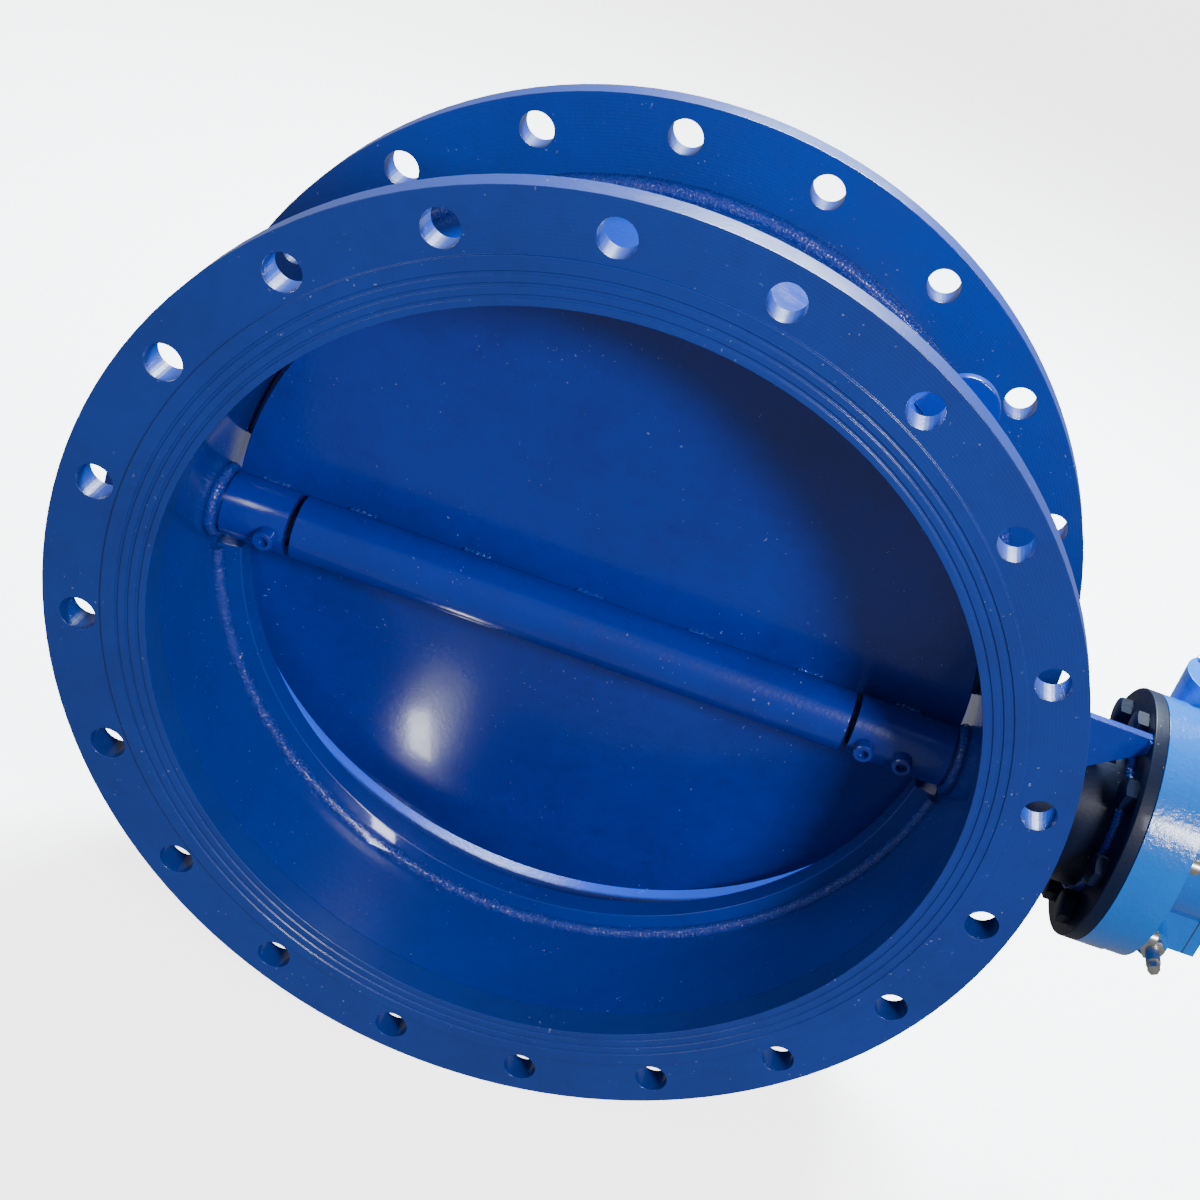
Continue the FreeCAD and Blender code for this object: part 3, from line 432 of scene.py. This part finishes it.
def finish_for(node):
    """The finish of a CAD node: its slot's, but the pipe's flanges have their turned face."""
    turned = node in ("front_flange", "rear_flange")
    return finishes["flange_paint" if turned else slot_of[node]]


for name, part in frame["nodes"].items():
    part.data.materials.clear()
    part.data.materials.append(finish_for(name))
print("finishes", len(finishes), "on", len(frame["nodes"]), "nodes")

# %% [markdown]
# ## Rounded edges
#
# Sawn and machined plate is deburred, and paint rounds every corner again. A
# perfectly sharp edge catches no light, which is what makes CAD look like CAD.
# Each plate could be drawn again by hand, but a copy of the CAD mesh is exact:
# its loose triangles are merged, flat faces are joined, and a Bevel modifier
# rounds what is sharper than 40 degrees. Weighted normals then keep the large
# faces flat.

# %% Rounded copies
def add_piece(name, mesh, body, finish, replaced=()):
    """Makes a finished mesh a piece that rides on a body."""
    mesh.materials.clear()
    mesh.materials.append(finish)
    piece = bpy.data.objects.new(name, mesh)
    bpy.context.scene.collection.objects.link(piece)
    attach(piece, body)
    if replaced:
        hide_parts(*replaced)
    return piece


def settled(maker):
    """The plain mesh that an object's modifiers give. The object is then removed."""
    bpy.context.view_layer.update()
    graph = bpy.context.evaluated_depsgraph_get()
    mesh = bpy.data.meshes.new_from_object(maker.evaluated_get(graph))
    bpy.data.objects.remove(maker)
    return mesh


def merged_copy(node):
    """A copy of a CAD node's mesh, with its triangles joined into faces."""
    work = bmesh.new()
    work.from_mesh(frame["nodes"][node].data)
    bmesh.ops.remove_doubles(work, verts=work.verts, dist=MERGE_DISTANCE)
    bmesh.ops.dissolve_limit(work, angle_limit=math.radians(0.6), verts=work.verts,
                             edges=work.edges, use_dissolve_boundaries=False)
    mesh = bpy.data.meshes.new(node)
    work.to_mesh(mesh)
    work.free()
    return mesh


def rounded(node, width):
    """Replaces a CAD node with a copy whose sharp edges are rounded."""
    maker = bpy.data.objects.new(node + "_work", merged_copy(node))
    bpy.context.scene.collection.objects.link(maker)
    for polygon in maker.data.polygons:
        polygon.use_smooth = True
    maker.data.set_sharp_from_angle(angle=SHARP_ANGLE)
    bevel = maker.modifiers.new("round", "BEVEL")
    bevel.width = width
    bevel.segments = 2
    bevel.limit_method = "ANGLE"
    bevel.angle_limit = SHARP_ANGLE
    bevel.use_clamp_overlap = True
    bevel.miter_outer = "MITER_ARC"
    maker.modifiers.new("weigh", "WEIGHTED_NORMAL").keep_sharp = False
    piece = add_piece(node + "_rounded", settled(maker), body_of[node],
                      finish_for(node), [node])
    print(piece.name, len(piece.data.polygons), "faces")


EDGES_MM = {
    "front_flange": 0.9, "rear_flange": 0.9, "lower_stop_ring": 1.2, "upper_stop_ring": 1.2,
    "lifting_lugs": 1.5, "disc_plate": 1.0, "disc_tube": 0.9, "drive_hub": 1.2, "tail_hub": 1.2,
    "neck_tube": 1.0, "mounting_flange": 1.2, "front_gusset": 1.0, "rear_gusset": 1.0,
    "stuffing_box": 0.8, "gland_follower": 0.6, "tail_boss": 1.2, "tail_cover": 1.2,
    "gearbox_base": 1.5, "gearbox_housing": 1.8, "gearbox_cover": 1.5, "worm_top_cap": 1.0,
    "worm_end_cap": 1.0, "handwheel": 1.0, "handwheel_washer": 0.4, "pointer": 0.5,
    "indicator_dial": 0.3,
}
for node, width in EDGES_MM.items():
    rounded(node, width * MM)

# %% [markdown]
# ## Weld beads
#
# The valve is made of plates that are welded together, and each bead is a row
# of overlapping ripples where the pool froze. A bead follows a path, so it is
# made with Geometry Nodes: a curve along the joint is given a round section,
# and each point of it is pushed in or out along its normal. The ripple depends
# on the distance along the path, bent back at the sides as a real ripple is,
# and noise makes it uneven. Every bead shares this one tree.

# %% Bead tree
def new_tree(name, wanted):
    """A geometry tree with a Geometry input and output, and the named inputs."""
    tree = bpy.data.node_groups.new(name, "GeometryNodeTree")
    tree.interface.new_socket("Geometry", in_out="INPUT", socket_type="NodeSocketGeometry")
    for socket_name, kind in wanted:
        tree.interface.new_socket(socket_name, in_out="INPUT", socket_type="NodeSocket" + kind)
    tree.interface.new_socket("Geometry", in_out="OUTPUT", socket_type="NodeSocketGeometry")
    graph = Graph(tree)
    entry = graph.add("NodeGroupInput")
    return tree, graph, entry


def close_tree(graph, geometry, material):
    """Ends a tree: real geometry, with its material."""
    real = graph.add("GeometryNodeRealizeInstances", {}, {"Geometry": geometry})
    made = graph.add("GeometryNodeSetMaterial", {}, {"Geometry": real, "Material": material})
    graph.add("NodeGroupOutput", {}, {"Geometry": made})


def run_tree(tree, source, values):
    """Runs a tree on an object, with inputs given by name, and returns the plain mesh."""
    modifier = source.modifiers.new("tree", "NODES")
    modifier.node_group = tree
    for item in tree.interface.items_tree:
        if item.item_type == "SOCKET" and item.in_out == "INPUT" and item.name in values:
            modifier[item.identifier] = values[item.name]
    return settled(source)


bead_tree, g, entry = new_tree("weld_bead", [
    ("Bead Radius", "Float"), ("Step", "Float"), ("Ripple Pitch", "Float"),
    ("Ripple Height", "Float"), ("Unevenness", "Float"), ("Seed", "Float"),
    ("Finish", "Material")])
path = g.add("GeometryNodeResampleCurve", {"mode": "LENGTH"}, {"Curve": entry.out("Geometry"),
                                                              "Length": entry.out("Step")})
along = g.add("GeometryNodeCaptureAttribute", {"domain": "POINT"}, {"Geometry": path})
along.socket.node.capture_items.new("FLOAT", "Distance")
length = g.add("GeometryNodeSplineParameter", output="Length")
g.tree.links.new(length.socket, along.socket.node.inputs["Distance"])
section = g.add("GeometryNodeCurvePrimitiveCircle", {"mode": "RADIUS"},
                {"Resolution": 12, "Radius": entry.out("Bead Radius")})
round_it = g.add("GeometryNodeCaptureAttribute", {"domain": "POINT"}, {"Geometry": section})
round_it.socket.node.capture_items.new("FLOAT", "Share")
share = g.add("GeometryNodeSplineParameter", output="Factor")
g.tree.links.new(share.socket, round_it.socket.node.inputs["Share"])
skin = g.add("GeometryNodeCurveToMesh", {}, {"Curve": along.out("Geometry"), "Fill Caps": True,
                                            "Profile Curve": round_it.out("Geometry")})
turn = round_it.out("Share") * (2 * math.pi)
bent_back = turn.math("COSINE", turn * 2) * 0.25
phase = along.out("Distance") / entry.out("Ripple Pitch") + bent_back
ripple = phase.math("SINE", phase * (2 * math.pi))
spot = g.add("GeometryNodeInputPosition")
lumps = g.add("ShaderNodeTexNoise", {"noise_dimensions": "4D"},
              {"Vector": spot, "W": entry.out("Seed"), "Scale": 160.0, "Detail": 3.0})
push = ripple * entry.out("Ripple Height") + (lumps - 0.5) * entry.out("Unevenness")
normal = g.add("GeometryNodeInputNormal")
offset = g.add("ShaderNodeVectorMath", {"operation": "SCALE"}, {0: normal, "Scale": push})
rippled = g.add("GeometryNodeSetPosition", {}, {"Geometry": skin, "Offset": offset})
smooth = g.add("GeometryNodeSetShadeSmooth", {}, {"Geometry": rippled, "Shade Smooth": True})
close_tree(g, smooth, entry.out("Finish"))
print("bead tree", len(bead_tree.nodes), "nodes")

# %% [markdown]
# The paths come from the CAD: the pipe's two radii and the places of its
# flanges and stop bars are read from the nodes. A ring goes all the way round,
# an arc follows a stop bar, and a saddle is where a round branch meets the
# round pipe: each of its points is as far out as the pipe is at that height.

# %% Bead paths
def radii(node):
    """Smallest and largest distance from the pipe's axis."""
    spread = [math.hypot(v.co.x, v.co.z) for v in frame["nodes"][node].data.vertices]
    return min(spread), max(spread)


BEAD_STEP = 1.1 * MM
STOP_UNEVEN = 3.4 * MM
BUSH_UNEVEN = 3.0 * MM


def bead(points, closed, radius, seed, pitch=0.0032, ripple=0.00045, uneven=0.0022):
    """The mesh of one bead along a path."""
    curve = bpy.data.curves.new("bead_path", "CURVE")
    curve.dimensions = "3D"
    line = curve.splines.new("POLY")
    line.points.add(len(points) - 1)
    for point, place in zip(line.points, points):
        point.co = (*place, 1.0)
    line.use_cyclic_u = closed
    source = bpy.data.objects.new("bead_path", curve)
    bpy.context.scene.collection.objects.link(source)
    return run_tree(bead_tree, source, {
        "Bead Radius": radius, "Step": BEAD_STEP, "Ripple Pitch": pitch, "Ripple Height": ripple,
        "Unevenness": uneven, "Seed": float(seed), "Finish": finishes["weld_bead"]})


def joined(meshes):
    """Several meshes as one, with every face turned outwards."""
    work = bmesh.new()
    for mesh in meshes:
        work.from_mesh(mesh)
        bpy.data.meshes.remove(mesh)
    bmesh.ops.recalc_face_normals(work, faces=work.faces)
    for face in work.faces:
        face.smooth = True
    mesh = bpy.data.meshes.new("joined")
    work.to_mesh(mesh)
    work.free()
    return mesh


def arc(radius, y, start, end, count=240):
    """Points on a circle round the pipe's axis, angles in degrees from +X to +Z."""
    angles = [math.radians(start + (end - start) * i / (count - 1)) for i in range(count)]
    return [(radius * math.cos(a), y, radius * math.sin(a)) for a in angles]


def saddle(pipe, branch, side, count=160):
    """Where a branch of this radius along X meets the pipe. side is 1 or -1."""
    points = []
    for i in range(count):
        a = 2 * math.pi * i / count
        y, z = branch * math.cos(a), branch * math.sin(a)
        points.append((side * math.sqrt(pipe * pipe - z * z), y, z))
    return points


def branch_ring(branch, x, count=160):
    """A circle of this radius round the shaft's axis at x."""
    turns = [2 * math.pi * i / count for i in range(count)]
    return [(x, branch * math.cos(a), branch * math.sin(a)) for a in turns]


bore, shell = radii("body_shell")
shell_front, shell_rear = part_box("body_shell")[0].y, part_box("body_shell")[1].y
lower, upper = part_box("lower_stop_ring"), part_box("upper_stop_ring")
half_gap = math.degrees(math.asin(-lower[1].z / bore)) + 1.0
ring_beads = [bead(arc(shell + 0.0015, y, 0, 358.5), True, 0.0075, seed)
              for seed, y in ((1, shell_front + 0.0015), (2, shell_rear - 0.0015))]
add_piece("flange_beads", joined(ring_beads), "body", finishes["weld_bead"],
          ["flange_welds"])
stop_paths = [arc(bore - 0.001, lower[0].y - 0.001, 180 + half_gap, 360 - half_gap),
              arc(bore - 0.001, upper[1].y + 0.001, half_gap, 180 - half_gap)]
stop_beads = [bead(path, False, 0.0062, seed, uneven=STOP_UNEVEN)
              for path, seed in zip(stop_paths, (3, 4))]
add_piece("stop_bar_beads", joined(stop_beads), "body", finishes["weld_bead"],
          ["stop_ring_welds"])
print("bore", round(bore, 4), "shell", round(shell, 4), "stop bars start at", round(half_gap, 1))

# %% [markdown]
# The smaller beads hold the branches: the neck and the tail boss on the
# outside of the pipe, the shaft bushes on the inside, the neck's plate and the
# two gussets. Short stitches hold the disc's tube. Their places are read from
# the CAD welds that they stand for.

# %% Branch and stitch beads

neck_radius = (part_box("neck_tube")[1].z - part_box("neck_tube")[0].z) / 2
boss_radius = (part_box("tail_boss")[1].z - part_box("tail_boss")[0].z) / 2
bush_radius = (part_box("drive_bush")[1].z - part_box("drive_bush")[0].z) / 2
neck_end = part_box("neck_tube")[1].x
branch_beads = [
    bead(saddle(shell + 0.001, neck_radius + 0.001, 1), True, 0.0048, 5),
    bead(saddle(shell + 0.001, boss_radius + 0.001, -1), True, 0.0048, 6),
    bead(branch_ring(neck_radius + 0.001, neck_end - 0.001), True, 0.0042, 7),
    bead(saddle(bore - 0.003, bush_radius + 0.002, 1), True, 0.0048, 8, uneven=BUSH_UNEVEN),
    bead(saddle(bore - 0.003, bush_radius + 0.002, -1), True, 0.0048, 9, uneven=BUSH_UNEVEN),
]
for node, seed in (("front_gusset", 10), ("rear_gusset", 11)):
    low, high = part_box(node)
    side = 1 if high.z > -low.z else -1
    reach = max(high.z, -low.z)
    foot = neck_radius * 0.8
    for y in (low.y, high.y):
        heights = [foot + (reach - 0.004 - foot) * i / 20 for i in range(21)]
        path = [(math.sqrt(shell * shell - z * z), y, side * z) for z in heights]
        branch_beads.append(bead(path, False, 0.0034, seed))
        path = [(neck_end, y, side * (reach - 0.014 + 0.0125 * i / 8)) for i in range(9)]
        branch_beads.append(bead(path, False, 0.003, seed + 10))
add_piece("branch_beads", joined(branch_beads), "body", finishes["weld_bead"])


def islands(node):
    """The separate solids of a node, each as a list of its points."""
    work = bmesh.new()
    work.from_mesh(frame["nodes"][node].data)
    bmesh.ops.remove_doubles(work, verts=work.verts, dist=MERGE_DISTANCE)
    left = set(work.verts)
    groups = []
    for vertex in work.verts:
        if vertex not in left:
            continue
        left.discard(vertex)
        group, queue = [], [vertex]
        while queue:
            here = queue.pop()
            group.append(here.co.copy())
            for edge in here.link_edges:
                other = edge.other_vert(here)
                if other in left:
                    left.discard(other)
                    queue.append(other)
        groups.append(group)
    work.free()
    return groups


STITCH_END = 2 * MM
stitches = []
for number, points in enumerate(islands("disc_stitch_welds")):
    low = Vector([min(p[i] for p in points) for i in range(3)])
    high = Vector([max(p[i] for p in points) for i in range(3)])
    middle = sum(points, Vector()) / len(points)
    middle = middle - disc_facing * 0.0008
    path = [(low.x + STITCH_END + (high.x - low.x - 2 * STITCH_END) * i / 12, middle.y, middle.z)
            for i in range(13)]
    stitches.append(bead(path, False, 0.0044, 30 + number, pitch=0.0045, ripple=0.0006,
                         uneven=0.0032))
add_piece("disc_stitches", joined(stitches), "disc", finishes["weld_bead"],
          ["disc_stitch_welds"])
print("stitches", len(stitches))

# %% [markdown]
# ## Screws, nuts and studs
#
# A hexagon head is chamfered by a cone, so its top is round and its sides end
# in arcs. The head is drawn once for each size, as 24 columns whose height
# follows that cone, and Geometry Nodes set a copy on each seat, turned by a
# random amount as a spanner leaves it. The seats and the sizes are measured on
# the CAD screws that they stand for, along directions that are given.

# %% Screw tree
screw_tree, g, entry = new_tree("screws_on_seats", [
    ("Screw", "Object"), ("Direction", "Vector"), ("Seed", "Int"), ("Finish", "Material")])
screw = g.add("GeometryNodeObjectInfo", {"transform_space": "ORIGINAL"},
              {"Object": entry.out("Screw")}, output="Geometry")
spin = g.add("FunctionNodeRandomValue", {"data_type": "FLOAT"},
             {2: 0.0, 3: 2 * math.pi, "Seed": entry.out("Seed")}, output=1)
spin_about = g.add("ShaderNodeCombineXYZ", {}, {"Z": spin})
aim = g.add("FunctionNodeAlignRotationToVector", {"axis": "Z"},
            {"Vector": entry.out("Direction")})
placed = g.add("GeometryNodeInstanceOnPoints", {}, {
    "Points": entry.out("Geometry"), "Instance": screw, "Rotation": aim})
spun = g.add("GeometryNodeRotateInstances", {}, {"Instances": placed, "Rotation": spin_about,
                                                "Local Space": True})
close_tree(g, spun, entry.out("Finish"))


def lathe(profile, segments):
    """A closed body of revolution about Z. profile lists (radius, height) from bottom to top."""
    work = bmesh.new()
    rings = []
    for radius, height in profile:
        rings.append([work.verts.new((radius * math.cos(2 * math.pi * i / segments),
                                      radius * math.sin(2 * math.pi * i / segments), height))
                      for i in range(segments)])
    for a, b in zip(rings, rings[1:]):
        for i in range(segments):
            j = (i + 1) % segments
            work.faces.new((a[i], a[j], b[j], b[i]))
    work.faces.new(list(reversed(rings[0])))
    work.faces.new(rings[-1])
    return work


def merge(work, other):
    """Adds another bmesh to this one."""
    carrier = bpy.data.meshes.new("carrier")
    other.to_mesh(carrier)
    other.free()
    work.from_mesh(carrier)
    bpy.data.meshes.remove(carrier)


def hex_head(work, flats, height, base=0.0, columns=24):
    """Adds a chamfered hexagon head that stands on base."""
    inner = flats / 2 * 0.94
    lower_ring, upper_ring, crown = [], [], []
    for i in range(columns):
        a = 2 * math.pi * i / columns
        reach = flats / 2 / math.cos((a + math.pi / 6) % (math.pi / 3) - math.pi / 6)
        direction = Vector((math.cos(a), math.sin(a), 0))
        top = base + height - (reach - inner) * 0.5
        lower_ring.append(work.verts.new(direction * reach + Vector((0, 0, base))))
        upper_ring.append(work.verts.new(direction * reach + Vector((0, 0, top))))
        crown.append(work.verts.new(direction * inner + Vector((0, 0, base + height))))
    for a, b in ((lower_ring, upper_ring), (upper_ring, crown)):
        for i in range(columns):
            j = (i + 1) % columns
            work.faces.new((a[i], a[j], b[j], b[i]))
    work.faces.new(list(reversed(lower_ring)))
    work.faces.new(crown)


def threaded(radius, low, high, pitch):
    """Profile of a threaded bar with a chamfered tip at each end."""
    depth = pitch * 0.5
    profile = [(radius - depth, low)]
    turns = int((high - low - pitch) / pitch)
    for i in range(turns):
        height = low + pitch * (i + 0.75)
        profile += [(radius, height), (radius - depth, height + pitch / 2)]
    profile.append((radius - depth, high))
    return profile


def measure(points, facing):
    """Size of one CAD screw whose head points along facing."""
    flat = [p - facing * p.dot(facing) for p in points]
    lows = [min(c[i] for c in flat) for i in range(3)]
    highs = [max(c[i] for c in flat) for i in range(3)]
    centre = Vector([(a + b) / 2 for a, b in zip(lows, highs)])
    reach = [(c - centre).length for c in flat]
    widest = max(reach)
    head = [p.dot(facing) for p, r in zip(points, reach) if r > widest * 0.9]
    return {"centre": centre, "corner": widest, "seat": min(head), "top": max(head),
            "tip": min(p.dot(facing) for p in points)}


def set_screws(name, node, facing, kind, seed, thread=0.0, split=None):
    """Replaces a node of like screws. kind is hex, socket, nut or stud."""
    made = []
    for number, side in enumerate(facing):
        group = [p for p in islands(node) if split is None or split(p) == number]
        sizes = [measure(points, side) for points in group]
        first = sizes[0]
        height = first["top"] - first["seat"]
        shank = first["seat"] - first["tip"]
        rim = first["corner"]
        work = bmesh.new()
        if kind in ("hex", "nut"):
            hex_head(work, rim * math.sqrt(3), height * 0.94, height * 0.06)
            outline, sides = [(rim * 0.84, 0), (rim * 0.84, height * 0.07)], 32
        elif kind == "socket":
            outline, sides = [(rim, 0), (rim, height * 0.88), (rim * 0.9, height),
                              (rim * 0.58, height), (rim * 0.56, height * 0.94),
                              (rim * 0.54, height * 0.45)], 36
        else:
            outline, sides = threaded(rim, 0, first["top"] - first["tip"], thread), 20
        merge(work, lathe(outline, sides))
        if kind in ("hex", "socket"):
            merge(work, lathe([(rim * 0.5, -shank), (rim * 0.5, height * 0.05)], 20))
        bmesh.ops.recalc_face_normals(work, faces=work.faces)
        head_mesh = bpy.data.meshes.new(name + "_one")
        work.to_mesh(head_mesh)
        work.free()
        one = bpy.data.objects.new(name + "_one", head_mesh)
        bpy.context.scene.collection.objects.link(one)
        seats = bpy.data.meshes.new(name + "_seats")
        base = "tip" if kind == "stud" else "seat"
        seats.from_pydata([s["centre"] + side * s[base] for s in sizes], [], [])
        source = bpy.data.objects.new(name + "_seats", seats)
        bpy.context.scene.collection.objects.link(source)
        made.append(run_tree(screw_tree, source, {
            "Screw": one, "Direction": tuple(side), "Seed": seed + number,
            "Finish": finishes[slot_of[node]]}))
        bpy.data.objects.remove(one)
        print(name, kind, len(sizes), "of", round(2 * rim / MM, 1), "mm across corners")
    work = bmesh.new()
    for mesh in made:
        work.from_mesh(mesh)
    result = bpy.data.meshes.new(name)
    work.to_mesh(result)
    work.free()
    for polygon in result.polygons:
        polygon.use_smooth = True
    result.set_sharp_from_angle(angle=math.radians(32))
    add_piece(name, result, body_of[node], finishes[slot_of[node]], [node])


to_operator, to_tail = Vector((1, 0, 0)), Vector((-1, 0, 0))
over, under = Vector((0, 0, 1)), Vector((0, 0, -1))
to_front = Vector((0, -1, 0))


def below(points):
    """1 for a solid in the lower half, 0 for one in the upper half."""
    return int(sum(p.z for p in points) < 0)


set_screws("operator_screws", "operator_bolts", [to_tail], "hex", 1)
set_screws("tail_cover_screws", "tail_cover_bolts", [to_tail], "hex", 2)
set_screws("case_cover_screws", "cover_bolts", [to_operator], "hex", 3)
set_screws("case_rim_screws", "housing_screws", [to_operator], "socket", 4)
set_screws("worm_cap_screws", "worm_cap_bolts", [over, under], "hex", 5, split=below)
set_screws("hub_screws", "hub_pins", [disc_facing], "socket", 7)
set_screws("gland_hex_nuts", "gland_nuts", [to_operator], "nut", 8)
set_screws("gland_threads", "gland_studs", [to_operator], "stud", 9, thread=0.00125)
set_screws("stop_hex_nuts", "stop_locknuts", [to_front], "nut", 10)

# %% [markdown]
# ## Dial marks
#
# The dial behind the pointer is marked every ten degrees from open to shut,
# with no figures. The marks repeat by a rule, so a tree makes them: as many
# instances of one thin bar as wanted, each turned about the shaft by its index
# times the step.

# %% Dial marks
mark_tree, g, entry = new_tree("dial_marks", [
    ("Count", "Int"), ("Start", "Float"), ("Step", "Float"), ("Mark Size", "Vector"),
    ("Middle", "Vector"), ("Finish", "Material")])
starts = g.add("GeometryNodeMeshLine", {"mode": "OFFSET"},
               {"Count": entry.out("Count"), "Offset": (0, 0, 0)})
bar = g.add("GeometryNodeMeshCube", {}, {"Size": entry.out("Mark Size")})
bar = g.add("GeometryNodeTransform", {}, {"Geometry": bar, "Translation": entry.out("Middle")})
marks = g.add("GeometryNodeInstanceOnPoints", {}, {"Points": starts, "Instance": bar})
index = g.add("GeometryNodeInputIndex")
angle = entry.out("Start") + index * entry.out("Step")
marks = g.add("GeometryNodeRotateInstances", {}, {
    "Instances": marks, "Rotation": g.add("ShaderNodeCombineXYZ", {}, {"X": angle})})
close_tree(g, marks, entry.out("Finish"))
carrier = bpy.data.objects.new("marks", bpy.data.meshes.new("marks"))
bpy.context.scene.collection.objects.link(carrier)
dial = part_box("indicator_dial")
mark_length, mark_width, mark_raise = 0.006, 0.0012, 0.0002
marks_mesh = run_tree(mark_tree, carrier, {
    "Count": 10, "Start": 0.0, "Step": math.radians(10), "Finish": finishes["seal_rubber"],
    "Mark Size": (mark_raise * 2, mark_width, mark_length),
    "Middle": (dial[1].x, 0.0, dial[1].z - mark_length * 0.8)})
add_piece("dial_marks", marks_mesh, "body", finishes["seal_rubber"])
print("marks", len(marks_mesh.polygons) // 6)
